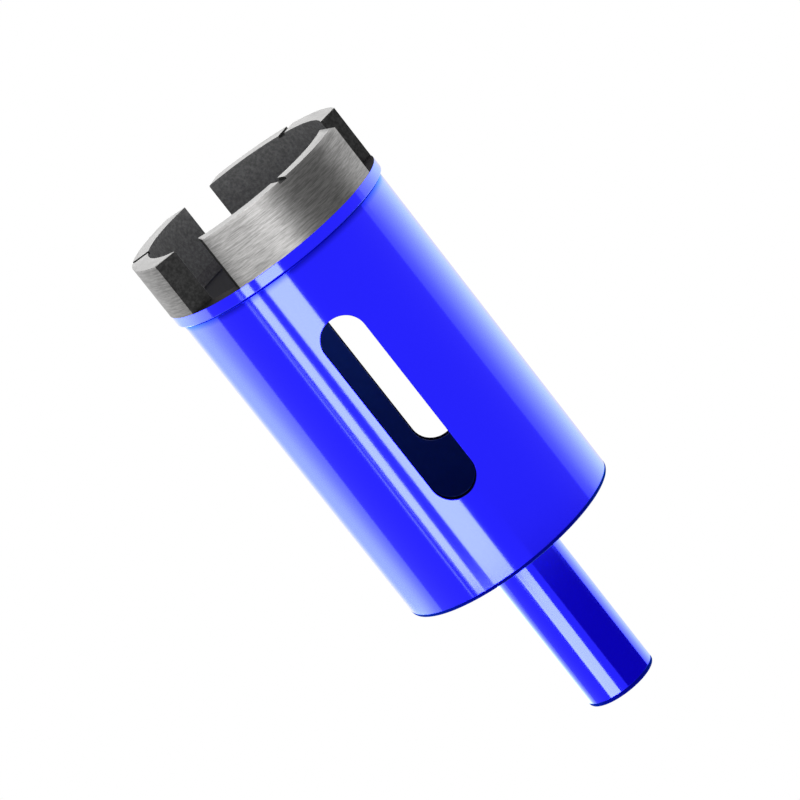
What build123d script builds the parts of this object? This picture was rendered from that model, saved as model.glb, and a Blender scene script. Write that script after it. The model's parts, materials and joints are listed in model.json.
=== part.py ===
from build123d import *
import os
from math import asin, atan2, cos, radians, sin, sqrt

# Dry and wet core bit for a drill chuck, in millimetres.
# The origin is the centre of the cutting plane, and +Z runs along the axis to the shank.
# Angles are counted about the axis from +X, and the front window faces -Y.

# Crown
crown_diameter = 32.0
segment_count = 3
segment_thickness = 2.5
segment_height = 7.5
segment_edge_break = 0.15
crown_turn = 8.3
water_slot_width = 4.3
water_slot_flare = 47.0
relief_groove_width = 1.1
relief_groove_depth = 0.35

# Segment ring
ring_height = 1.5
ring_edge_break = 0.12

# Barrel
barrel_diameter = 30.9
barrel_wall = 1.5
barrel_length = 48.0
barrel_edge_break = 0.3
window_width = 6.0
window_length = 27.7
window_start = 8.3
window_edge_break = 0.12
front_window_angle = -90.0
rear_window_angle = 94.6

# Back plate
plate_thickness = 3.0
plate_edge_break = 0.4
weld_leg = 1.0

# Shank
shank_diameter = 10.0
shank_length = 24.5
shank_end_break = 0.35
spigot_diameter = 8.0
spigot_end_break = 0.4

# Fit of the plate in the tube and of the spigot in the plate, on the radius
brazing_gap = 0.05

# Heights along the axis, from the cutting plane up
ring_front = segment_height
barrel_front = ring_front + ring_height
barrel_back = barrel_front + barrel_length
plate_front = barrel_back - plate_thickness
shank_back = barrel_back + shank_length

# Radii shared by pieces that meet
crown_radius = crown_diameter / 2
crown_bore_radius = crown_radius - segment_thickness
barrel_radius = barrel_diameter / 2
barrel_bore_radius = barrel_radius - barrel_wall
shank_radius = shank_diameter / 2
spigot_radius = spigot_diameter / 2


def polar(radius, angle):
    """Point in the cross-section at a radius and an angle in radians."""
    return (radius * cos(angle), radius * sin(angle))


def outer_edges(solid, height):
    """Longest circular edge of a solid at one height."""
    at_height = solid.edges().filter_by(GeomType.CIRCLE).filter_by_position(Axis.Z, height, height)
    return at_height.sort_by(SortBy.LENGTH)[-1:]


def on_barrel_skin(edge):
    """Whether the middle of an edge lies on the barrel's outside."""
    middle = edge @ 0.5
    return abs(Vector(middle.X, middle.Y, 0).length - barrel_radius) < barrel_wall / 4


def segment_corner_angles():
    """Half angles of a segment at the bore and at the outside, in radians.

    Each water slot has its stated width at the bore, and its walls open outwards by the flare.
    """
    half_pitch = radians(180 / segment_count)
    slot_at_bore = asin(water_slot_width / 2 / crown_bore_radius)
    start_x, start_y = polar(crown_bore_radius, slot_at_bore)
    wall_x = cos(radians(water_slot_flare))
    wall_y = sin(radians(water_slot_flare))
    along = start_x * wall_x + start_y * wall_y
    reach = sqrt(along ** 2 - crown_bore_radius ** 2 + crown_radius ** 2) - along
    slot_at_outside = atan2(start_y + reach * wall_y, start_x + reach * wall_x)
    return half_pitch - slot_at_bore, half_pitch - slot_at_outside


def make_segment(angle):
    """Sintered arc with broken cutting edges and a groove across its middle."""
    bore_angle, outside_angle = segment_corner_angles()
    bore_low = polar(crown_bore_radius, -bore_angle)
    bore_high = polar(crown_bore_radius, bore_angle)
    outside_low = polar(crown_radius, -outside_angle)
    outside_high = polar(crown_radius, outside_angle)
    with BuildPart() as segment:
        with BuildSketch():
            with BuildLine():
                ThreePointArc(outside_low, (crown_radius, 0), outside_high)
                Line(outside_high, bore_high)
                ThreePointArc(bore_high, (crown_bore_radius, 0), bore_low)
                Line(bore_low, outside_low)
            make_face()
        extrude(amount=segment_height)
        chamfer(segment.faces().sort_by(Axis.Z)[0].edges(), segment_edge_break)
        with Locations((crown_radius - segment_thickness / 2, 0, 0)):
            Box(2 * segment_thickness, relief_groove_width, 2 * relief_groove_depth, mode=Mode.SUBTRACT)
    return Rot(0, 0, angle) * segment.part


def make_segment_ring():
    """Steel ring behind the segments, of the crown's section."""
    with BuildPart() as ring:
        with Locations((0, 0, ring_front)):
            Cylinder(crown_radius, ring_height, align=(Align.CENTER, Align.CENTER, Align.MIN))
            Cylinder(
                crown_bore_radius,
                ring_height,
                align=(Align.CENTER, Align.CENTER, Align.MIN),
                mode=Mode.SUBTRACT,
            )
        chamfer(outer_edges(ring, barrel_front), ring_edge_break)
    return ring.part


def make_barrel_tube():
    """Thin tube with a long round-ended window on each side."""
    window_middle = barrel_front + window_start + window_length / 2
    with BuildPart() as tube:
        with Locations((0, 0, barrel_front)):
            Cylinder(barrel_radius, barrel_length, align=(Align.CENTER, Align.CENTER, Align.MIN))
            Cylinder(
                barrel_bore_radius,
                barrel_length,
                align=(Align.CENTER, Align.CENTER, Align.MIN),
                mode=Mode.SUBTRACT,
            )
        chamfer(outer_edges(tube, barrel_back), barrel_edge_break)
        for angle in (front_window_angle, rear_window_angle):
            side = Vector(cos(radians(angle)), sin(radians(angle)), 0)
            window_plane = Plane(origin=(0, 0, window_middle), x_dir=(0, 0, 1), z_dir=side)
            with BuildSketch(window_plane):
                SlotOverall(window_length, window_width)
            extrude(amount=barrel_diameter, mode=Mode.SUBTRACT)
            rim = [edge for edge in tube.edges(Select.LAST) if on_barrel_skin(edge)]
            chamfer(rim, window_edge_break)
    return tube.part


def make_back_plate():
    """Disc in the barrel's mouth, bored for the spigot."""
    radius = barrel_bore_radius - brazing_gap
    with BuildPart() as plate:
        with Locations((0, 0, plate_front)):
            Cylinder(radius, plate_thickness, align=(Align.CENTER, Align.CENTER, Align.MIN))
            Cylinder(
                spigot_radius + brazing_gap,
                plate_thickness,
                align=(Align.CENTER, Align.CENTER, Align.MIN),
                mode=Mode.SUBTRACT,
            )
        chamfer(outer_edges(plate, barrel_back), plate_edge_break)
    return plate.part


def make_shank():
    """Round shank with the weld round its root, and its spigot through the back plate."""
    weld_top = barrel_back + weld_leg
    with BuildPart() as shank:
        with Locations((0, 0, barrel_back)):
            Cylinder(shank_radius, shank_length, align=(Align.CENTER, Align.CENTER, Align.MIN))
        chamfer(outer_edges(shank, shank_back), shank_end_break)
        with BuildSketch(Plane.XZ):
            with BuildLine():
                Line((0, barrel_back), (shank_radius + weld_leg, barrel_back))
                RadiusArc(
                    (shank_radius + weld_leg, barrel_back),
                    (shank_radius, weld_top),
                    1.5 * weld_leg,
                )
                Line((shank_radius, weld_top), (0, weld_top))
                Line((0, weld_top), (0, barrel_back))
            make_face()
        revolve(axis=Axis.Z)
        with Locations((0, 0, plate_front)):
            Cylinder(spigot_radius, plate_thickness, align=(Align.CENTER, Align.CENTER, Align.MIN))
        chamfer(outer_edges(shank, plate_front), spigot_end_break)
    return shank.part


os.makedirs("parts", exist_ok=True)
for index in range(segment_count):
    segment_solid = make_segment(crown_turn + index * 360 / segment_count)
    export_step(segment_solid, f"parts/diamond_segment_{index + 1}.step")
export_step(make_segment_ring(), "parts/segment_ring.step")
export_step(make_barrel_tube(), "parts/barrel_tube.step")
export_step(make_back_plate(), "parts/back_plate.step")
export_step(make_shank(), "parts/shank.step")
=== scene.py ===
"""Builds the looks of a blue diamond core bit around its CAD frame, and its studio."""

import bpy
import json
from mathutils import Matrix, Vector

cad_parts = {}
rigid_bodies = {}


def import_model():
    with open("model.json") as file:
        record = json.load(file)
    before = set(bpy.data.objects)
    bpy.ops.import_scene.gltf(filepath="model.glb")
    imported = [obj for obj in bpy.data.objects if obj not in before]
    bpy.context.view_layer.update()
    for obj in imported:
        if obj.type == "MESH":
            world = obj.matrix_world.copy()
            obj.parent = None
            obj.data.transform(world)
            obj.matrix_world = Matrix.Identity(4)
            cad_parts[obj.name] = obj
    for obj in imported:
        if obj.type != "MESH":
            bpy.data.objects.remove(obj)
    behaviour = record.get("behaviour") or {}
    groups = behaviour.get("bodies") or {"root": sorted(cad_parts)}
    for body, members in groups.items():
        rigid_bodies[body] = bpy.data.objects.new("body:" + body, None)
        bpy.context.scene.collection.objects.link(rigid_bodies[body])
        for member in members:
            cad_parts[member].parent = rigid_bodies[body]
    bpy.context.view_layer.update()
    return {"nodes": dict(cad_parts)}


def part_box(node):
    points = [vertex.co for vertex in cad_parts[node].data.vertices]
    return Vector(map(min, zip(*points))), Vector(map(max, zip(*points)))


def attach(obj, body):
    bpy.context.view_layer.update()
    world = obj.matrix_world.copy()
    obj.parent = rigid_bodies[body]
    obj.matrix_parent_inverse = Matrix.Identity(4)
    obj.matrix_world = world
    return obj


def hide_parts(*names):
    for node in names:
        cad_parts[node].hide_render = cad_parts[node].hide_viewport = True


bl_info = {
    "name": "Diamond core bit",
    "version": (1, 0, 0),
    "blender": (4, 5, 0),
    "location": "3D View > Sidebar > Core bit",
    "description": "Makes the painted barrel, collar, plate and shank, the sintered crown, and the studio",
    "category": "Object",
}

import json
import math

import bmesh
import bpy
from bpy.props import FloatProperty, FloatVectorProperty, PointerProperty
from mathutils import Matrix, Vector

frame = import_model()

MM = 0.001
# Points closer than this, in metres, are taken as one
CLOSE = 1e-6
segment_names = sorted(name for name in frame["nodes"] if name.startswith("diamond_segment"))
# The segment in front is the one whose leading corner is worn down most
worn_shares = (0.05, 0.05, 1.0)
ring_low, ring_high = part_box("segment_ring")
tube_low, tube_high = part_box("barrel_tube")
plate_low, plate_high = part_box("back_plate")
shank_low, shank_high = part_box("shank")


def length(name, description, default):
    """Property for a size in metres."""
    return FloatProperty(name=name, description=description, default=default, unit="LENGTH", precision=5)


def angle(name, description, degrees):
    """Property for an angle."""
    return FloatProperty(name=name, description=description, default=math.radians(degrees), subtype="ANGLE")


def colour(name, description, default):
    """Property for a colour."""
    return FloatVectorProperty(name=name, description=description, default=default, subtype="COLOR", size=3)


class CrownSizes(bpy.types.PropertyGroup):
    """Sizes of the sintered crown and its collar."""

    outside: length("Outside radius", "Radius of the crown's outer wall", ring_high.x)
    thickness: length("Segment thickness", "Radial thickness of a segment", 2.5 * MM)
    slot_width: length("Slot width", "Width of a water slot at the bore", 4.3 * MM)
    slot_flare: angle("Slot flare", "Angle at which each slot wall opens outwards", 47.0)
    turn: angle("Turn", "Angle of the first segment's middle about the axis", 8.3)
    groove_width: length("Groove width", "Width of the relief groove across a cutting face", 1.1 * MM)
    groove_depth: length("Groove depth", "Depth of the relief groove", 0.35 * MM)
    edge_break: length("Edge break", "Rounding of the segments' edges", 0.11 * MM)
    worn_edge: length("Worn edge", "Rounding of the edge that leads into the cut", 0.3 * MM)
    worn_depth: length("Worn depth", "How far the leading corner of a segment is worn down", 0.45 * MM)
    worn_reach: length("Worn reach", "Distance from the leading corner over which it is worn", 2.2 * MM)
    collar_edge: length("Collar edge", "Rounding of the collar's back edge", 0.12 * MM)


class BarrelSizes(bpy.types.PropertyGroup):
    """Sizes of the tube, its windows and the plate in its back."""

    radius: length("Outside radius", "Radius of the barrel's skin", tube_high.x)
    wall: length("Wall", "Thickness of the tube's wall", 1.5 * MM)
    edge_round: length("Back edge", "Rounding of the barrel's back edge", 0.3 * MM)
    window_width: length("Window width", "Width of each window across its flats", 6.0 * MM)
    window_length: length("Window length", "Overall length of each window", 27.7 * MM)
    window_start: length("Window start", "Height of each window above the collar", 8.3 * MM)
    window_round: length("Window edge", "Rounding of each window's outer edge", 0.12 * MM)
    front_window: angle("Front window", "Angle of the front window about the axis", 270.0)
    rear_window: angle("Rear window", "Angle of the rear window about the axis", 94.6)
    plate_edge: length("Plate edge", "Rounding of the back plate's edge", 0.4 * MM)
    skin_step: angle("Skin step", "Largest turn from one strip of the skin to the next", 1.5)


class ShankSizes(bpy.types.PropertyGroup):
    """Sizes of the shank and of the weld round its root."""

    radius: length("Shank radius", "Radius of the clamped length", 5.0 * MM)
    end_round: length("Shank end", "Rounding of the shank's end", 0.35 * MM)
    spigot: length("Spigot radius", "Radius of the spigot in the back plate", 4.0 * MM)
    spigot_round: length("Spigot end", "Rounding of the spigot's end", 0.4 * MM)
    weld: length("Weld leg", "Leg of the weld round the shank's root", 1.0 * MM)
    fit: length("Fit", "Radial gap of the plate in the tube and of the spigot in the plate", 0.05 * MM)


class Finishes(bpy.types.PropertyGroup):
    """Colours of the finishes, one of which also serves as painted shade."""

    blue: colour("Blue enamel", "Enamel on the barrel, the collar and the shank", (0.0065, 0.0008, 1.0))
    # Navy gives the inside enamel its cloudy tone, and is also painted as shade: a dark reflection along
    # the back edges and a shadow behind the collar
    navy_tone_and_painted_shade: colour("Navy enamel and painted shade", "Cloudy tone inside, and painted shade at the back edges and behind the collar", (0.002, 0.003, 0.22))
    inside: colour("Inside enamel", "Dark enamel inside the barrel", (0.008, 0.058, 0.42))
    steel: colour("Ground steel", "Ground faces of the sintered segments", (0.41, 0.405, 0.40))
    raw: colour("Raw sinter", "Walls of the segments left as pressed", (0.13, 0.13, 0.13))


class StudioSizes(bpy.types.PropertyGroup):
    """Camera and light of the studio."""

    distance: length("Distance", "From the camera to the point it turns about", 495.5 * MM)
    rise: angle("Rise", "Upward slope of the camera's line of sight", 8.6)
    roll: angle("Roll", "Turn of the camera about its line of sight", 141.93)
    pan: angle("Pan", "Turn of the camera to the side", -3.12)
    tilt: angle("Tilt", "Turn of the camera up or down", 3.98)
    turn: angle("Turn", "Turn of the object towards the camera", 2.74)
    aim_height: length("Aim height", "Height of the point the camera turns about", -10.79 * MM)
    lens: FloatProperty(name="Lens", description="Focal length in millimetres", default=180.63)
    ambient: FloatProperty(name="Ambient", description="Level of the light from all round", default=1.05)


def sizes_of(name):
    """One of the scene's groups of sizes."""
    return getattr(bpy.context.scene, name)


# Shader sheets

class Signal:
    """One socket of a sheet, so that shader maths reads as plain expressions."""

    def __init__(self, sheet, socket):
        self.sheet = sheet
        self.socket = socket

    def maths(self, operation, *values):
        """Math node on sockets and numbers."""
        return self.sheet.node("ShaderNodeMath", {"operation": operation}, dict(enumerate(values)))

    def __add__(self, other):
        return self.maths("ADD", self, other)

    def __sub__(self, other):
        return self.maths("SUBTRACT", self, other)

    def __rsub__(self, other):
        return self.maths("SUBTRACT", other, self)

    def __mul__(self, other):
        return self.maths("MULTIPLY", self, other)

    def __pow__(self, other):
        return self.maths("POWER", self, other)

    __radd__ = __add__
    __rmul__ = __mul__

    def larger(self, other):
        """The larger of two values."""
        return self.maths("MAXIMUM", self, other)

    def ramp(self, start, end):
        """From 0 at start to 1 at end, softly."""
        settings = {"interpolation_type": "SMOOTHSTEP"}
        values = {"Value": self, "From Min": min(start, end), "From Max": max(start, end)}
        rising = self.sheet.node("ShaderNodeMapRange", settings, values)
        return rising if start < end else 1 - rising


class Sheet:
    """Node sheet of one material or of the world."""

    def __init__(self, owner):
        owner.use_nodes = True
        self.tree = owner.node_tree
        self.tree.nodes.clear()
        in_world = isinstance(owner, bpy.types.World)
        self.last_kind = "ShaderNodeOutputWorld" if in_world else "ShaderNodeOutputMaterial"

    def node(self, kind, settings=None, inputs=None, output=0):
        """One node with its settings, then the values or links of its sockets."""
        made = self.tree.nodes.new(kind)
        for key, value in (settings or {}).items():
            setattr(made, key, value)
        for key, value in (inputs or {}).items():
            if isinstance(value, Signal):
                self.tree.links.new(value.socket, made.inputs[key])
            else:
                made.inputs[key].default_value = value
        return Signal(self, made.outputs[output] if made.outputs else None)

    def point(self):
        """Object coordinates in metres."""
        return self.node("ShaderNodeTexCoord", output="Object")

    def parts(self, point, axes):
        """Coordinates of a point along some axes."""
        return [self.node("ShaderNodeSeparateXYZ", inputs={"Vector": point}, output=axis) for axis in axes]

    def place(self):
        """Point of the piece, its distance from the axis and its height."""
        point = self.point()
        x, y, z = self.parts(point, "XYZ")
        return point, (x * x + y * y) ** 0.5, z

    def turn(self, point):
        """Angle of a point about the axis."""
        x, y = self.parts(point, "XY")
        return x.maths("ARCTAN2", y, x)

    def noise(self, vector, scale, detail=2.0, roughness=0.5):
        """Cloudy pattern between 0 and 1."""
        values = {"Vector": vector, "Scale": scale, "Detail": detail, "Roughness": roughness}
        return self.node("ShaderNodeTexNoise", inputs=values)

    def join(self, x, y, z):
        """Vector from three values."""
        return self.node("ShaderNodeCombineXYZ", inputs={"X": x, "Y": y, "Z": z})

    def blend(self, factor, first, second):
        """Colour between two others."""
        settings = {"data_type": "RGBA"}
        return self.node("ShaderNodeMix", settings, {0: factor, 6: first, 7: second}, output=2)

    def bump(self, height, distance):
        """Normal of a surface raised by a share, between 0 and 1, of a distance."""
        values = {"Height": height, "Distance": distance, "Strength": 1.0}
        return self.node("ShaderNodeBump", inputs=values)

    def finish(self, shader):
        """Joins the last shader to the sheet's output."""
        self.node(self.last_kind, inputs={"Surface": shader})


def rgba(values):
    """Colour with full opacity."""
    return (values[0], values[1], values[2], 1.0)


def new_material(name):
    """Material and its empty sheet."""
    material = bpy.data.materials.new(name)
    return material, Sheet(material)


def back_edge(radius, height, skin, end, length_along, depth):
    """Mask of a round skin's back edge, which reaches so far along it and so deep into it."""
    fade_along = 0.14 * MM
    fade_inwards = 0.1 * MM
    along = height.ramp(end - length_along, end - length_along + fade_along)
    return along * radius.ramp(skin - depth, skin - depth + fade_inwards)


def blue_enamel():
    """Glossy blue enamel under a clear coat, with a painted dark reflection along the back edges and
    painted shade behind the collar.
    """
    finishes = sizes_of("core_bit_finishes")
    barrel = sizes_of("core_bit_barrel")
    shank = sizes_of("core_bit_shank")
    material, sheet = new_material("blue_enamel")
    point, radius, height = sheet.place()
    cloud = sheet.noise(point, 90.0, 3.0)
    peel = sheet.noise(point, 420.0, 2.0)
    # Painted dark reflection: the enamel turns navy and dull along the rounded back edges of the barrel and
    # the shank
    tube_edge = back_edge(radius, height, barrel.radius, tube_high.z, 0.62 * MM, 0.35 * MM)
    shank_edge = back_edge(radius, height, shank.radius, shank_high.z, 0.74 * MM, 0.4 * MM)
    # Painted shade in the corner behind the collar: a dark dull line along the barrel's end, inside a wider
    # painted shadow
    corner = height.ramp(tube_low.z, tube_low.z + 0.02 * MM)
    corner = corner * radius.ramp(ring_high.x - 0.2 * MM, ring_high.x - 0.4 * MM)
    line = corner * height.ramp(tube_low.z + 0.36 * MM, tube_low.z + 0.22 * MM)
    shadow = corner * height.ramp(tube_low.z + 1.25 * MM, tube_low.z + 0.2 * MM)
    edge = tube_edge.larger(shank_edge)
    dull = edge.larger(line)
    # Random tone, darkened by the painted shadow behind the collar
    shade = (0.97 + cloud * 0.06) * (1.0 - shadow * 0.52)
    blue = sheet.node("ShaderNodeVectorMath", {"operation": "SCALE"}, {0: finishes.blue, "Scale": shade})
    base = sheet.blend(edge.larger(line * 0.5), blue, rgba(finishes.navy_tone_and_painted_shade))
    values = {
        "Base Color": base,
        "Metallic": 0.58 + dull.larger(shadow * 0.4) * 0.42,
        "Roughness": (0.08 + cloud * 0.02).larger(dull * 0.9),
        "IOR": 1.45,
        "Specular IOR Level": 0.42,
        "Specular Tint": (0.3, 1.0, 1.0, 1.0),
        "Coat Weight": 1.0 - dull.larger(shadow * 0.95),
        "Coat Roughness": 0.08,
        "Coat IOR": 1.225,
        "Normal": sheet.bump(peel, 1e-6),
    }
    sheet.finish(sheet.node("ShaderNodeBsdfPrincipled", inputs=values))
    return material


def inside_enamel():
    """Dull dark enamel that reached the inside of the barrel, bare near the crown, and painted nearly black
    on the windows' cut walls as shade.
    """
    finishes = sizes_of("core_bit_finishes")
    barrel = sizes_of("core_bit_barrel")
    material, sheet = new_material("inside_enamel")
    point, radius, height = sheet.place()
    cloud = sheet.noise(point, 160.0, 4.0)
    grain = sheet.noise(point, 2600.0, 2.0)
    enamel = sheet.blend(cloud * 0.5, rgba(finishes.inside), rgba(finishes.navy_tone_and_painted_shade))
    bare = height.ramp(tube_low.z + 9 * MM, tube_low.z + 3 * MM)
    # The cut walls of the windows, painted nearly black as shade
    painted_shade_black = (0.001, 0.001, 0.006, 1.0)
    bore = barrel.radius - barrel.wall
    cut = radius.ramp(bore + 0.02 * MM, bore + 0.12 * MM)
    cut = cut * height.ramp(tube_high.z - 0.2 * MM, tube_high.z - 0.4 * MM)
    values = {
        "Base Color": sheet.blend(bare, enamel, rgba(Vector(finishes.raw) * 0.72)),
        "Roughness": 0.45 + grain * 0.25,
        "Specular IOR Level": 0.15,
        "Normal": sheet.bump(grain, 8e-6),
    }
    wall = sheet.node("ShaderNodeBsdfPrincipled", inputs=values)
    edge = sheet.node("ShaderNodeBsdfDiffuse", inputs={"Color": painted_shade_black})
    sheet.finish(sheet.node("ShaderNodeMixShader", inputs={0: cut, 1: wall, 2: edge}))
    return material


def ground_steel():
    """Ground faces of the sintered metal, with fine marks that run round the crown."""
    finishes = sizes_of("core_bit_finishes")
    material, sheet = new_material("ground_sinter")
    point, radius, height = sheet.place()
    around = sheet.turn(point) * ring_high.x

    def marks(along, across, detail, roughness):
        """Noise drawn out round the crown, with one scale along its marks and another across them."""
        drawn = sheet.join(around * along, height * across, radius * across)
        return sheet.noise(drawn, 1.0, detail, roughness)

    streaks = marks(330.0, 3800.0, 3.0, 0.7)
    hairs = marks(800.0, 9000.0, 2.0, 0.6)
    broad = marks(160.0, 500.0, 2.0, 0.5)
    grit = sheet.noise(point, 2800.0, 2.0)
    tone = streaks * 0.6 + hairs * 0.4
    steel = Vector(finishes.steel)
    face = height.ramp(0.5 * MM, 0.02 * MM)
    wall = sheet.blend(tone.ramp(0.32, 0.68), rgba(steel * 0.44), rgba(steel * 0.90))
    cut = sheet.blend((tone * 0.6 + grit * 0.4).ramp(0.32, 0.68), rgba(steel * 0.74), rgba(steel * 1.0))
    values = {
        "Base Color": sheet.blend(face, wall, cut),
        "Metallic": 1.0,
        "Roughness": 0.34 + broad * 0.1,
        "Normal": sheet.bump(tone + grit * 0.2, 3.5e-6),
    }
    sheet.finish(sheet.node("ShaderNodeBsdfPrincipled", inputs=values))
    return material


def raw_sinter():
    """Walls of the sintered metal as they came from the press, matt and speckled, with painted shade on the
    slot end walls and next to the collar.
    """
    finishes = sizes_of("core_bit_finishes")
    crown = sizes_of("core_bit_crown")
    material, sheet = new_material("raw_sinter")
    point, radius, height = sheet.place()
    grit = sheet.noise(point, 2400.0, 3.0, 0.65)
    cloud = sheet.noise(point, 220.0, 2.0)
    raw = Vector(finishes.raw)
    bore = crown.outside - crown.thickness
    bored = sheet.blend(grit.ramp(0.3, 0.75), rgba(raw * 0.8), rgba(raw * 1.42))
    # Painted shade: the slot end walls get a much darker copy of the same sinter than the bore
    pressed = sheet.blend(grit.ramp(0.3, 0.75), rgba(raw * 0.11), rgba(raw * 0.27))
    base = sheet.blend(radius.ramp(bore + 0.004 * MM, bore + 0.012 * MM), bored, pressed)
    # Painted shade, darker towards the collar: on the top of the segments and on the collar's bare faces
    behind = height.ramp(ring_low.z - 0.1 * MM, ring_low.z - 0.02 * MM)
    values = {
        "Base Color": sheet.blend(behind * 0.25, base, (0.0, 0.0, 0.0, 1.0)),
        "Metallic": 0.3,
        "Roughness": 0.55 + cloud * 0.2,
        "Specular IOR Level": 0.1,
        "Normal": sheet.bump(grit, 9e-6),
    }
    sheet.finish(sheet.node("ShaderNodeBsdfPrincipled", inputs=values))
    return material


# Pieces

def radius_of(point):
    """Distance of a point from the axis."""
    return math.hypot(point.x, point.y)


def mesh_from(bm, name):
    """Mesh made from a bmesh, which is then freed."""
    mesh = bpy.data.meshes.new(name)
    bm.to_mesh(mesh)
    bm.free()
    return mesh


def add_object(name, data):
    """New object in the scene."""
    made = bpy.data.objects.new(name, data)
    bpy.context.scene.collection.objects.link(made)
    return made


def true_normals(mesh):
    """Gives the corners of walls round the axis, and of faces across it, their exact direction."""
    flat = 0.9999
    nearly_true = 0.98
    level = {index for face in mesh.polygons if abs(face.normal.z) > flat for index in face.vertices}
    normals = []
    for corner, normal in zip(mesh.loops, mesh.corner_normals):
        point = mesh.vertices[corner.vertex_index].co
        outward = Vector((point.x, point.y, 0.0)).normalized()
        share = normal.vector.dot(outward)
        if abs(share) > nearly_true:
            normals.append(outward * math.copysign(1.0, share))
        elif abs(normal.vector.z) > nearly_true and corner.vertex_index in level:
            normals.append(Vector((0.0, 0.0, math.copysign(1.0, normal.vector.z))))
        else:
            normals.append(normal.vector.copy())
    mesh.normals_split_custom_set(normals)


def dress(bm, name, materials, replaced):
    """Turns a finished bmesh into a piece that rides on the root body in place of a CAD node."""
    mesh = mesh_from(bm, name)
    mesh.shade_smooth()
    mesh.set_sharp_from_angle(angle=math.radians(32.0))
    true_normals(mesh)
    for material in materials:
        mesh.materials.append(material)
    piece = add_object(name, mesh)
    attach(piece, "root")
    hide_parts(replaced)


def mend(bm):
    """Merges doubles and turns the faces outwards."""
    bmesh.ops.remove_doubles(bm, verts=bm.verts, dist=CLOSE)
    bmesh.ops.recalc_face_normals(bm, faces=bm.faces)


def cut_along(bm, point, normal, distance):
    """Divides the faces that a plane crosses. Points within a distance of it count as on it."""
    bmesh.ops.bisect_plane(
        bm,
        geom=bm.verts[:] + bm.edges[:] + bm.faces[:],
        plane_co=point,
        plane_no=normal,
        dist=distance,
    )


def round_edges(bm, edges, offset, segments=3):
    """Rounds edges by an offset, with some strips of faces along each."""
    bmesh.ops.bevel(
        bm,
        geom=edges,
        offset=offset,
        offset_type="OFFSET",
        affect="EDGES",
        segments=segments,
        profile=0.5,
        material=-1,
        clamp_overlap=True,
    )


def circular_edges(bm, radius, height):
    """Edges of a spun shape at one radius and height."""
    def on_circle(vert):
        return abs(radius_of(vert.co) - radius) < CLOSE and abs(vert.co.z - height) < CLOSE

    return [edge for edge in bm.edges if all(on_circle(vert) for vert in edge.verts)]


def spin(bm, parts, sweep, steps):
    """Turns vertices, edges or faces about the axis, and closes a full turn."""
    bmesh.ops.spin(
        bm,
        geom=parts,
        cent=(0.0, 0.0, 0.0),
        axis=(0.0, 0.0, 1.0),
        dvec=(0.0, 0.0, 0.0),
        angle=sweep,
        steps=steps,
        use_merge=sweep == math.tau,
    )


def turn_profile(points, steps, closed):
    """Shape made by turning a profile of radii and heights about the axis."""
    bm = bmesh.new()
    verts = [bm.verts.new((radius, 0.0, height)) for radius, height in points]
    pairs = list(zip(verts, verts[1:]))
    if closed:
        pairs.append((verts[-1], verts[0]))
    edges = [bm.edges.new(pair) for pair in pairs]
    spin(bm, verts + edges, math.tau, steps)
    mend(bm)
    return bm


def turn_ring(inner, outer, low, high, steps):
    """Ring between two radii and two heights."""
    return turn_profile([(inner, low), (outer, low), (outer, high), (inner, high)], steps, True)


def give_second(bm, test):
    """Gives the second material to the faces whose middle and normal pass a test."""
    for face in bm.faces:
        if test(face.calc_center_median(), face.normal):
            face.material_index = 1


def segment_half_angles(crown):
    """Half angles of a segment at the bore and at the outside."""
    bore = crown.outside - crown.thickness
    at_bore = math.asin(crown.slot_width / 2 / bore)
    start = Vector((bore * math.cos(at_bore), bore * math.sin(at_bore)))
    wall = Vector((math.cos(crown.slot_flare), math.sin(crown.slot_flare)))
    along = start.dot(wall)
    reach = math.sqrt(along ** 2 - bore ** 2 + crown.outside ** 2) - along
    end = start + wall * reach
    half_pitch = math.pi / len(segment_names)
    return half_pitch - at_bore, half_pitch - math.atan2(end.y, end.x)


def make_segment_shape(crown, height):
    """One sintered arc about +X, with its relief groove, before it is turned into place."""
    bore = crown.outside - crown.thickness
    bore_half, outside_half = segment_half_angles(crown)
    bm = bmesh.new()
    corners = [(bore, 0.0), (crown.outside, 0.0), (crown.outside, height), (bore, height)]
    verts = [bm.verts.new((radius, 0.0, z)) for radius, z in corners]
    face = bm.faces.new(verts)
    bmesh.ops.rotate(bm, verts=verts, cent=(0, 0, 0), matrix=Matrix.Rotation(-bore_half, 3, "Z"))
    spin(bm, [face], 2 * bore_half, 64)
    # The outer wall is shorter in angle, so the slots open outwards
    for vert in bm.verts:
        radius = radius_of(vert.co)
        if radius > bore + crown.thickness / 2:
            turn = math.atan2(vert.co.y, vert.co.x) * outside_half / bore_half
            vert.co.x = radius * math.cos(turn)
            vert.co.y = radius * math.sin(turn)
    mend(bm)
    cut_groove(bm, crown)
    return bm


def cut_groove(bm, crown):
    """Relief groove across the middle of the cutting face."""
    half = crown.groove_width / 2
    depth = crown.groove_depth
    cuts = [((0, half, 0), (0, 1, 0)), ((0, -half, 0), (0, 1, 0)), ((0, 0, depth), (0, 0, 1))]
    for point, normal in cuts:
        cut_along(bm, point, normal, CLOSE)
    strip = [f for f in bm.faces if f.normal.z < -0.5 and abs(f.calc_center_median().y) < half]
    raised = bmesh.ops.extrude_face_region(bm, geom=strip)
    raised_verts = [item for item in raised["geom"] if isinstance(item, bmesh.types.BMVert)]
    bmesh.ops.translate(bm, verts=raised_verts, vec=(0, 0, depth))
    bmesh.ops.delete(bm, geom=[f for f in strip if f.is_valid], context="FACES_ONLY")
    bore = crown.outside - crown.thickness
    ends = []
    for face in bm.faces:
        middle = face.calc_center_median()
        radius = radius_of(middle)
        at_wall = min(abs(radius - bore), abs(radius - crown.outside)) < 0.05 * MM
        if at_wall and abs(middle.y) < half - CLOSE and middle.z < depth - CLOSE:
            ends.append(face)
    bmesh.ops.delete(bm, geom=ends, context="FACES")
    mend(bm)


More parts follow.
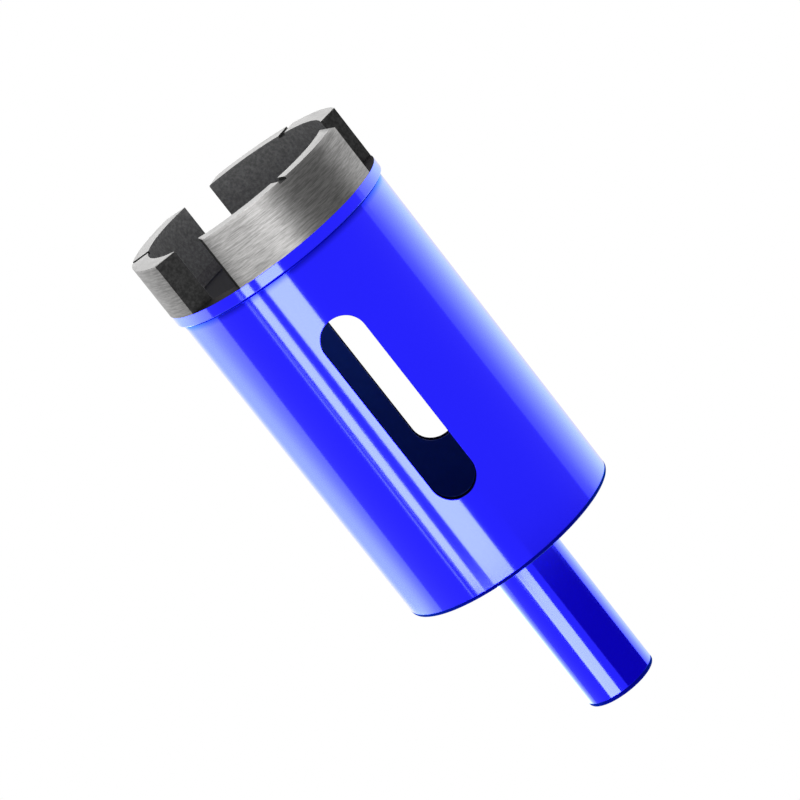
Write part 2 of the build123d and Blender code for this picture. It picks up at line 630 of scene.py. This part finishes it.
class CORE_BIT_OT_segments(bpy.types.Operator):
    """Make the sintered segments of the crown"""

    bl_idname = "core_bit.segments"
    bl_label = "Sintered segments"

    def execute(self, context):
        crown = context.scene.core_bit_crown
        faces = ground_steel()
        walls = raw_sinter()
        for index, name in enumerate(segment_names):
            bm = make_segment_shape(crown, ring_low.z)
            give_second(bm, lambda middle, normal: self.is_pressed(crown, middle, normal))
            self.wear_corner(bm, crown, crown.worn_depth * worn_shares[index])
            round_edges(bm, self.worn_edges(bm, crown), crown.worn_edge, 4)
            round_edges(bm, self.sharp_edges(bm, crown), crown.edge_break)
            turn = crown.turn + index * math.tau / len(segment_names)
            bmesh.ops.rotate(bm, verts=bm.verts, cent=(0, 0, 0), matrix=Matrix.Rotation(turn, 3, "Z"))
            dress(bm, f"sintered_{name}", [faces, walls], name)
        return {"FINISHED"}

    def is_pressed(self, crown, middle, normal):
        """Whether a face is left as pressed, so neither on the outer wall nor on the cutting face."""
        outer = radius_of(middle) > crown.outside - 0.1 * MM
        cutting = normal.z < -0.5 and middle.z < crown.groove_depth / 2
        return not outer and not cutting

    def wear_corner(self, bm, crown, depth):
        """Wears the cutting face down towards the outer corner that leads into the cut."""
        outside_half = segment_half_angles(crown)[1]
        corner = Matrix.Rotation(-outside_half, 3, "Z") @ Vector((crown.outside, 0.0, 0.0))
        for vert in bm.verts:
            share = 1 - (vert.co - corner).length / crown.worn_reach
            if share > 0 and vert.co.z < depth:
                vert.co.z += (depth - vert.co.z) * share ** 2

    def worn_edges(self, bm, crown):
        """Edge of the cutting face at the end that leads into the cut."""
        # Just inside the end, so that the end's own points count
        end_turn = 1e-4 - segment_half_angles(crown)[1]
        found = []
        for edge in bm.edges:
            low = all(vert.co.z < crown.worn_depth + CLOSE for vert in edge.verts)
            at_end = all(math.atan2(vert.co.y, vert.co.x) < end_turn for vert in edge.verts)
            if low and at_end and edge.calc_length() > crown.thickness / 2:
                found.append(edge)
        return found

    def sharp_edges(self, bm, crown):
        """Sharp edges in front of the collar, but for the upright ones at the bore."""
        bore = crown.outside - crown.thickness
        least_angle = math.radians(35.0)
        found = []
        for edge in bm.edges:
            if len(edge.link_faces) != 2 or edge.calc_face_angle() < least_angle:
                continue
            first, second = (vert.co for vert in edge.verts)
            upright = abs(first.z - second.z) > edge.calc_length() / 2
            at_bore = radius_of(first) < bore + 0.1 * MM
            if min(first.z, second.z) < ring_low.z - CLOSE and not (upright and at_bore):
                found.append(edge)
        return found


class CORE_BIT_OT_collar(bpy.types.Operator):
    """Make the painted collar that carries the segments"""

    bl_idname = "core_bit.collar"
    bl_label = "Collar"

    def execute(self, context):
        crown = context.scene.core_bit_crown
        bore = crown.outside - crown.thickness
        bm = turn_ring(bore, crown.outside, ring_low.z, ring_high.z, 256)
        skin = crown.outside - 0.1 * MM
        front_break = 0.04 * MM
        give_second(bm, lambda middle, normal: radius_of(middle) < skin and normal.z < 0.5)
        round_edges(bm, circular_edges(bm, crown.outside, ring_high.z), crown.collar_edge)
        round_edges(bm, circular_edges(bm, crown.outside, ring_low.z), front_break, 2)
        dress(bm, "collar", [blue_enamel(), raw_sinter()], "segment_ring")
        return {"FINISHED"}


def window_line(barrel):
    """Height of a window's middle, and how far its straight sides reach above and below it."""
    middle = tube_low.z + barrel.window_start + barrel.window_length / 2
    return middle, barrel.window_length / 2 - barrel.window_width / 2


def window_outline(barrel, offset):
    """Points of a window's outline across and along the barrel, one round end and then the other."""
    half = barrel.window_width / 2 + offset
    middle, reach = window_line(barrel)
    points = []
    steps = 32
    for end in (1, -1):
        for step in range(steps + 1):
            turn = math.pi * step / steps
            across = end * half * math.cos(turn)
            points.append((across, middle + end * (reach + half * math.sin(turn))))
    return points


def close_loop(bm, verts):
    """Edges that join vertices into a ring."""
    return [bm.edges.new((first, second)) for first, second in zip(verts, verts[1:] + verts[:1])]


def rolled_skin(bm, barrel, radius, high, offset, windows):
    """Vertices of a round wall, which is cut flat with its windows open and rolled about the axis."""
    start = len(bm.verts)
    plan = bmesh.new()
    width = math.tau * radius
    outline = [
        plan.verts.new((0.0, tube_low.z, 0.0)),
        plan.verts.new((width, tube_low.z, 0.0)),
        plan.verts.new((width, high, 0.0)),
        plan.verts.new((0.0, high, 0.0)),
    ]
    edges = close_loop(plan, outline)
    lines = set()
    centres = [turn * radius for turn in windows]
    for centre in centres:
        points = [
            (centre + radius * math.asin(across / radius), height)
            for across, height in window_outline(barrel, offset)
        ]
        edges += close_loop(plan, [plan.verts.new((x, z, 0.0)) for x, z in points])
        lines.update(round(x, 9) for x, z in points)
    bmesh.ops.triangle_fill(plan, edges=edges, use_beauty=False, use_dissolve=False, normal=(0.0, 0.0, 1.0))
    # Even strips between the windows, which have their own lines
    widest = math.asin(barrel.window_width / 2 / (barrel.radius - barrel.wall))
    clear = (widest + barrel.skin_step / 2) * radius
    count = math.ceil(math.tau / barrel.skin_step)
    for index in range(1, count):
        x = width * index / count
        if all(abs(x - centre) > clear for centre in centres):
            lines.add(x)
    for x in sorted(lines):
        cut_along(plan, (x, 0.0, 0.0), (1.0, 0.0, 0.0), CLOSE / 5)
    bmesh.ops.remove_doubles(plan, verts=plan.verts, dist=CLOSE)
    for vert in plan.verts:
        turn = vert.co.x / radius
        vert.co = Vector((radius * math.cos(turn), radius * math.sin(turn), vert.co.y))
    bmesh.ops.remove_doubles(plan, verts=plan.verts, dist=CLOSE)
    mesh = mesh_from(plan, "rolled")
    bm.from_mesh(mesh)
    bpy.data.meshes.remove(mesh)
    bm.verts.ensure_lookup_table()
    return bm.verts[start:]


def rim_rings(verts):
    """Open rims of a sheet, each a list of edges, from the lowest to the highest."""
    # A dict keeps its order, so that each run is the same
    loose = {edge: True for vert in verts for edge in vert.link_edges if len(edge.link_faces) == 1}
    rings = []
    while loose:
        ring = [loose.popitem()[0]]
        # The ring grows while the loop runs along it
        for edge in ring:
            for vert in edge.verts:
                for other in vert.link_edges:
                    if loose.pop(other, False):
                        ring.append(other)
        rings.append(ring)

    def height(ring):
        levels = [vert.co.z for edge in ring for vert in edge.verts]
        return sum(levels) / len(levels)

    return sorted(rings, key=height)


def carry_rim(bm, ring, move):
    """Extrudes a rim, moves the new vertices by a rule, and gives the new rim."""
    made = bmesh.ops.extrude_edge_only(bm, edges=ring)["geom"]
    for vert in [item for item in made if isinstance(item, bmesh.types.BMVert)]:
        vert.co = move(vert.co.copy())
    return [item for item in made if isinstance(item, bmesh.types.BMEdge) and len(item.link_faces) == 1]


class CORE_BIT_OT_barrel(bpy.types.Operator):
    """Make the painted barrel with its two long windows"""

    bl_idname = "core_bit.barrel"
    bl_label = "Barrel"

    def execute(self, context):
        barrel = context.scene.core_bit_barrel
        windows = (barrel.front_window, barrel.rear_window)
        bm = bmesh.new()
        bore = barrel.radius - barrel.wall
        edge = barrel.edge_round
        lip = barrel.window_round
        outer = rolled_skin(bm, barrel, barrel.radius, tube_high.z - edge, lip, windows)
        low, rear_gap, front_gap, high = self.sort_rims(rim_rings(outer))
        inner = rolled_skin(bm, barrel, bore, tube_high.z, 0.0, windows)
        in_low, in_rear_gap, in_front_gap, in_high = self.sort_rims(rim_rings(inner))
        # Rounded back edge
        edge_steps = 4
        for step in range(1, edge_steps + 1):
            turn = math.pi / 2 * step / edge_steps
            radius = barrel.radius - edge * (1 - math.cos(turn))
            height = tube_high.z - edge * (1 - math.sin(turn))
            high = carry_rim(bm, high, lambda co: self.on_ring(co, radius, height))
        for ends, up in ((high + in_high, (0.0, 0.0, 1.0)), (low + in_low, (0.0, 0.0, -1.0))):
            bmesh.ops.triangle_fill(bm, edges=ends, use_beauty=True, use_dissolve=False, normal=up)
        # Rounded lip and straight wall of each window
        lip_steps = 3
        gaps = ((front_gap, in_front_gap, windows[0]), (rear_gap, in_rear_gap, windows[1]))
        for gap, in_gap, turn in gaps:
            for step in range(lip_steps):
                start, end = (math.pi / 2 * done / lip_steps for done in (step, step + 1))
                inwards = lip * math.sin(end) - lip * math.sin(start)
                radius = barrel.radius - lip * (1 - math.cos(end))
                gap = carry_rim(bm, gap, lambda co: self.in_window(co, barrel, turn, inwards, radius))
            bmesh.ops.bridge_loops(bm, edges=gap + in_gap)
        mend(bm)
        inside = barrel.radius - lip - 0.01 * MM
        give_second(bm, lambda middle, normal: radius_of(middle) < inside and normal.z < 0.99)
        dress(bm, "barrel", [blue_enamel(), inside_enamel()], "barrel_tube")
        return {"FINISHED"}

    def sort_rims(self, rims):
        """The lowest rim, the rear window's, the front window's and the highest rim."""
        if len(rims) != 4:
            raise RuntimeError(f"a skin of the barrel has {len(rims)} rims and not 4")
        low, first, second, high = rims
        first_y = sum(vert.co.y for edge in first for vert in edge.verts)
        return (low, first, second, high) if first_y > 0 else (low, second, first, high)

    def on_ring(self, point, radius, height):
        """A point moved to a radius and height at its own turn."""
        share = radius / radius_of(point)
        return Vector((point.x * share, point.y * share, height))

    def in_window(self, point, barrel, turn, inwards, radius):
        """A point of a window's rim moved towards the window's middle line and to a radius."""
        flat = Matrix.Rotation(-turn, 3, "Z") @ point
        middle, reach = window_line(barrel)
        centre = middle + max(-reach, min(reach, flat.z - middle))
        out = Vector((flat.y, flat.z - centre))
        if out.length > 0:
            out *= (out.length - inwards) / out.length
        placed = Vector((math.sqrt(radius ** 2 - out.x ** 2), out.x, centre + out.y))
        return Matrix.Rotation(turn, 3, "Z") @ placed


class CORE_BIT_OT_plate(bpy.types.Operator):
    """Make the plate that closes the back of the barrel"""

    bl_idname = "core_bit.plate"
    bl_label = "Back plate"

    def execute(self, context):
        barrel = context.scene.core_bit_barrel
        shank = context.scene.core_bit_shank
        radius = plate_high.x
        bm = turn_ring(shank.spigot + shank.fit, radius, plate_low.z, plate_high.z, 192)
        give_second(bm, lambda middle, normal: normal.z < -0.5)
        round_edges(bm, circular_edges(bm, radius, plate_high.z), barrel.plate_edge, 4)
        dress(bm, "end_plate", [blue_enamel(), inside_enamel()], "back_plate")
        return {"FINISHED"}


class CORE_BIT_OT_shank(bpy.types.Operator):
    """Make the shank with the weld round its root and its spigot"""

    bl_idname = "core_bit.shank"
    bl_label = "Shank"

    def execute(self, context):
        shank = context.scene.core_bit_shank
        foot = plate_high.z
        profile = [(0.0, shank_low.z), (shank.spigot, shank_low.z), (shank.spigot, foot)]
        # The weld is hollow, an arc of 1.5 times its leg that leans on the plate and on the shank
        leg = shank.weld
        bend = 1.5 * leg
        start = Vector((shank.radius + leg, foot))
        end = Vector((shank.radius, foot + leg))
        middle = (start + end) / 2
        away = Vector((1.0, 1.0)).normalized()
        centre = middle + away * math.sqrt(bend ** 2 - (end - start).length_squared / 4)
        first = math.atan2(start.y - centre.y, start.x - centre.x)
        last = math.atan2(end.y - centre.y, end.x - centre.x)
        steps = 8
        for step in range(steps + 1):
            turn = first + (last - first) * step / steps
            profile.append((centre.x + bend * math.cos(turn), centre.y + bend * math.sin(turn)))
        rings = 16
        rise = shank_high.z - foot - leg
        profile += [(shank.radius, foot + leg + rise * step / rings) for step in range(1, rings + 1)]
        profile.append((0.0, shank_high.z))
        bm = turn_profile(profile, 192, False)
        give_second(bm, lambda middle, normal: middle.z < foot - CLOSE)
        round_edges(bm, circular_edges(bm, shank.radius, shank_high.z), shank.end_round, 4)
        round_edges(bm, circular_edges(bm, shank.spigot, shank_low.z), shank.spigot_round)
        dress(bm, "round_shank", [blue_enamel(), inside_enamel()], "shank")
        return {"FINISHED"}


# Studio

def hide_from(held, *rays):
    """Hides an object from some kinds of ray."""
    for ray in rays:
        setattr(held, f"visible_{ray}", False)


def light_only(source, pieces):
    """Keeps the light of a lamp or a card to some pieces."""
    receivers = bpy.data.collections.new(f"lit_by_{source.name}")
    for piece in pieces:
        receivers.objects.link(piece)
    source.light_linking.receiver_collection = receivers


def lamp(name, azimuth, distance, width, heights, radiance, pieces):
    """Soft upright lamp at a level distance, turned to the object's axis, for some of its pieces."""
    light = bpy.data.lights.new(name, "AREA")
    light.shape = "RECTANGLE"
    light.size = width
    light.size_y = heights[1] - heights[0]
    light.energy = radiance * math.pi * light.size * light.size_y
    lit = add_object(name, light)
    level = Vector((math.cos(azimuth), math.sin(azimuth), 0.0)) * distance
    lit.location = level + Vector((0.0, 0.0, sum(heights) / 2))
    lit.rotation_mode = "QUATERNION"
    lit.rotation_quaternion = (-level).to_track_quat("-Z", "Y")
    hide_from(lit, "camera")
    light_only(lit, pieces)


def card(name, distance, heights, turns, levels, shade, pieces):
    """Curved card that shows only in the gloss of some pieces, with leaning ends.

    Turns and levels are those of its two ends, at the bottom and then at the top where these differ.
    """
    sweep = math.radians(90.0)
    bm = bmesh.new()
    verts = [bm.verts.new((distance, 0.0, height)) for height in heights]
    edge = bm.edges.new(verts)
    spin(bm, verts + [edge], sweep, 48)
    level = bm.verts.layers.float.new("level")
    for vert in bm.verts:
        share = math.atan2(vert.co.y, vert.co.x) / sweep
        top = vert.co.z > sum(heights) / 2
        first, last = turns[-2:] if top else turns[:2]
        turn = first + (last - first) * share
        vert.co.x = distance * math.cos(turn)
        vert.co.y = distance * math.sin(turn)
        start, end = levels[-2:] if top else levels[:2]
        vert[level] = start + (end - start) * share ** 2 * (3 - 2 * share)
    material, sheet = new_material(name)
    strength = sheet.node("ShaderNodeAttribute", {"attribute_name": "level"}, output="Fac")
    sheet.finish(sheet.node("ShaderNodeEmission", inputs={"Color": shade, "Strength": strength}))
    mesh = mesh_from(bm, name)
    mesh.materials.append(material)
    held = add_object(name, mesh)
    hide_from(held, "camera", "diffuse", "shadow")
    light_only(held, pieces)


class CORE_BIT_OT_studio(bpy.types.Operator):
    """Set the camera, the floor, the white surroundings and the lamps"""

    bl_idname = "core_bit.studio"
    bl_label = "Studio"

    def execute(self, context):
        studio = context.scene.core_bit_studio
        context.scene.view_settings.view_transform = "Standard"
        self.set_camera(context, studio)
        self.set_world(context, studio)
        self.set_floor()
        self.set_lamps(studio)
        return {"FINISHED"}

    def set_camera(self, context, studio):
        """Camera below the cutting plane, rolled so that the axis runs across the picture."""
        data = bpy.data.cameras.new("camera")
        data.lens = studio.lens
        data.sensor_width = 36.0
        data.clip_start = 0.05
        data.clip_end = 30.0
        camera = add_object("camera", data)
        context.scene.camera = camera
        forward = Vector((0.0, math.cos(studio.rise), math.sin(studio.rise)))
        right = Vector((1.0, 0.0, 0.0))
        down = forward.cross(right)
        level = Matrix((right, down, forward))
        leaned = Matrix.Rotation(studio.tilt, 3, "X") @ Matrix.Rotation(studio.pan, 3, "Y")
        axes = leaned @ Matrix.Rotation(studio.roll, 3, "Z") @ level @ Matrix.Rotation(studio.turn, 3, "Z")
        held = Matrix((axes[0], -axes[1], -axes[2])).transposed()
        place = Vector((0.0, 0.0, studio.aim_height)) - forward * studio.distance
        camera.location = Matrix.Rotation(-studio.turn, 3, "Z") @ place
        camera.rotation_mode = "QUATERNION"
        camera.rotation_quaternion = held.to_quaternion()

    def set_world(self, context, studio):
        """White for the eye, gloss and glass, and a plain soft light for the rest."""
        world = bpy.data.worlds.new("surroundings")
        context.scene.world = world
        sheet = Sheet(world)
        seen = sheet.node("ShaderNodeLightPath", output="Is Camera Ray")
        gloss = sheet.node("ShaderNodeLightPath", output="Is Glossy Ray")
        through = sheet.node("ShaderNodeLightPath", output="Is Transmission Ray")
        soft, white = (
            sheet.node("ShaderNodeBackground", inputs={"Color": (1.0, 1.0, 1.0, 1.0), "Strength": strength})
            for strength in (studio.ambient, 1.0)
        )
        factor = seen.larger(gloss).larger(through)
        sheet.finish(sheet.node("ShaderNodeMixShader", inputs={0: factor, 1: soft, 2: white}))

    def set_floor(self):
        """Pale floor just under the crown, seen from above only."""
        radius = 6.0
        drop = 0.1 * MM
        bm = bmesh.new()
        bmesh.ops.create_circle(bm, cap_ends=True, segments=96, radius=radius)
        bmesh.ops.translate(bm, verts=bm.verts, vec=(0.0, 0.0, -drop))
        material, sheet = new_material("pale_floor")
        cloud = sheet.noise(sheet.point(), 40.0, 2.0)
        pale = sheet.blend(cloud, (0.80, 0.80, 0.80, 1.0), (0.84, 0.84, 0.84, 1.0))
        below = sheet.node("ShaderNodeNewGeometry", output="Backfacing")
        cloth = sheet.node("ShaderNodeBsdfDiffuse", inputs={"Color": pale})
        clear = sheet.node("ShaderNodeBsdfTransparent")
        sheet.finish(sheet.node("ShaderNodeMixShader", inputs={0: below, 1: cloth, 2: clear}))
        mesh = mesh_from(bm, "floor")
        mesh.materials.append(material)
        floor = add_object("floor", mesh)
        hide_from(floor, "diffuse", "glossy", "transmission", "shadow")

    def set_lamps(self, studio):
        """Upright lamps and cards round the object, each at its turn in degrees from the camera's side."""
        front = -math.pi / 2 - studio.turn
        painted = [bpy.data.objects[name] for name in ("collar", "barrel", "end_plate", "round_shank")]
        sintered = [bpy.data.objects[f"sintered_{name}"] for name in segment_names]
        # Lowest and highest points of a lamp or card, by the part of the object that it serves
        crown_part = (-0.08, 0.31)
        barrel_part = (0.1, 0.2325)
        collar_part = (0.05, 0.1764)
        shank_part = (0.3065, 0.42)
        tall = (-0.7, 0.9)
        lamps = (
            # name, turn, distance, width, heights, radiance
            ("crown_front", -4.0, 0.55, 0.26, crown_part, 3.6),
            ("crown_left", 32.0, 0.55, 0.34, crown_part, 2.2),
            ("crown_right", -51.0, 0.55, 0.74, crown_part, 0.28),
            ("crown_side", 135.0, 0.55, 0.77, crown_part, 1.1),
            ("crown_end", -128.0, 0.55, 0.86, crown_part, 1.2),
            ("low_back", 180.0, 0.8, 0.9, (-0.32, -0.08), 1.45),
        )
        for name, turn, distance, width, heights, radiance in lamps:
            lamp(name, front + math.radians(turn), distance, width, heights, radiance, sintered)
        bright = (25.0, 25.0)
        plain = (1.0, 1.0, 1.0, 1.0)
        mauve = (1.0, 0.91, 1.0, 1.0)
        violet = (1.0, 0.78, 1.0, 1.0)
        cards = (
            # name, distance, heights, turns, levels, colour
            ("wide_strip", 0.6, barrel_part, (9.8, 33.9, 14.9, 37.8), bright, plain),
            ("narrow_strip", 0.6, barrel_part, (41.2, 50.2, 48.9, 56.8), bright, plain),
            ("faint_strip", 0.6, barrel_part, (54.0, 54.8, 57.5, 58.3), (5.8, 5.8), plain),
            ("thin_strip", 0.6, barrel_part, (54.7, 56.1, 61.9, 63.3), (7.6, 7.6), plain),
            ("shank_strip", 0.6, (0.2365, 0.34), (14.7, 49.9, 26.5, 62.6), bright, plain),
            ("front_card", 0.9, tall, (-90.3, 118.0), (0.93, 0.97), violet),
            ("left_near", 0.88, (0.15, 0.33), (92.8, 116.0, 105.3, 116.0), (4.3, 3.7, 2.8, 3.4), mauve),
            ("left_far", 0.88, tall, (116.0, 150.0), (3.5, 1.35), mauve),
            ("left_rim", 0.88, tall, (150.0, 176.0), (1.32, 1.15), mauve),
            ("collar_left", 0.87, collar_part, (94.5, 160.0), (6.2, 1.35), mauve),
            ("collar_right", 0.87, collar_part, (-170.0, -97.0), (0.9, 4.4), mauve),
            ("right_edge", 0.9, tall, (-112.0, -90.3), (3.15, 2.1), mauve),
            ("right_card", 0.9, tall, (-176.0, -112.0), (0.8, 3.15), mauve),
            ("shank_card", 0.7, (0.2655, 0.6), (-104.0, -6.9), (0.0, 0.0), plain),
            ("shank_left", 0.85, shank_part, (109.0, 145.0, 119.8, 145.0), (2.3, 4.6), mauve),
            ("shank_rim", 0.85, shank_part, (145.0, 172.0), (4.6, 4.6), mauve),
        )
        for name, distance, heights, turns, levels, shade in cards:
            placed = [front + math.radians(turn) for turn in turns]
            card(name, distance, heights, placed, levels, shade, painted)


class CORE_BIT_PT_panel(bpy.types.Panel):
    """Sizes, finishes and makers of the core bit"""

    bl_idname = "CORE_BIT_PT_panel"
    bl_label = "Core bit"
    bl_space_type = "VIEW_3D"
    bl_region_type = "UI"
    bl_category = "Core bit"

    def draw(self, context):
        layout = self.layout
        for name in size_groups:
            column = layout.column(align=True)
            group = getattr(context.scene, name)
            for key in group.__annotations__:
                column.prop(group, key)
        for maker in makers:
            layout.operator(maker.bl_idname)


size_groups = {
    "core_bit_crown": CrownSizes,
    "core_bit_barrel": BarrelSizes,
    "core_bit_shank": ShankSizes,
    "core_bit_finishes": Finishes,
    "core_bit_studio": StudioSizes,
}
makers = (
    CORE_BIT_OT_segments,
    CORE_BIT_OT_collar,
    CORE_BIT_OT_barrel,
    CORE_BIT_OT_plate,
    CORE_BIT_OT_shank,
    CORE_BIT_OT_studio,
)


def register():
    """Registers the groups, the operators and the panel."""
    for name, group in size_groups.items():
        bpy.utils.register_class(group)
        setattr(bpy.types.Scene, name, PointerProperty(type=group))
    for maker in makers:
        bpy.utils.register_class(maker)
    bpy.utils.register_class(CORE_BIT_PT_panel)


def unregister():
    """Takes everything back out."""
    bpy.utils.unregister_class(CORE_BIT_PT_panel)
    for maker in reversed(makers):
        bpy.utils.unregister_class(maker)
    for name, group in reversed(size_groups.items()):
        delattr(bpy.types.Scene, name)
        bpy.utils.unregister_class(group)


def main():
    """Makes the pieces and the studio."""
    register()
    bpy.ops.core_bit.segments()
    bpy.ops.core_bit.collar()
    bpy.ops.core_bit.barrel()
    bpy.ops.core_bit.plate()
    bpy.ops.core_bit.shank()
    bpy.ops.core_bit.studio()


if __name__ == "__main__":
    main()
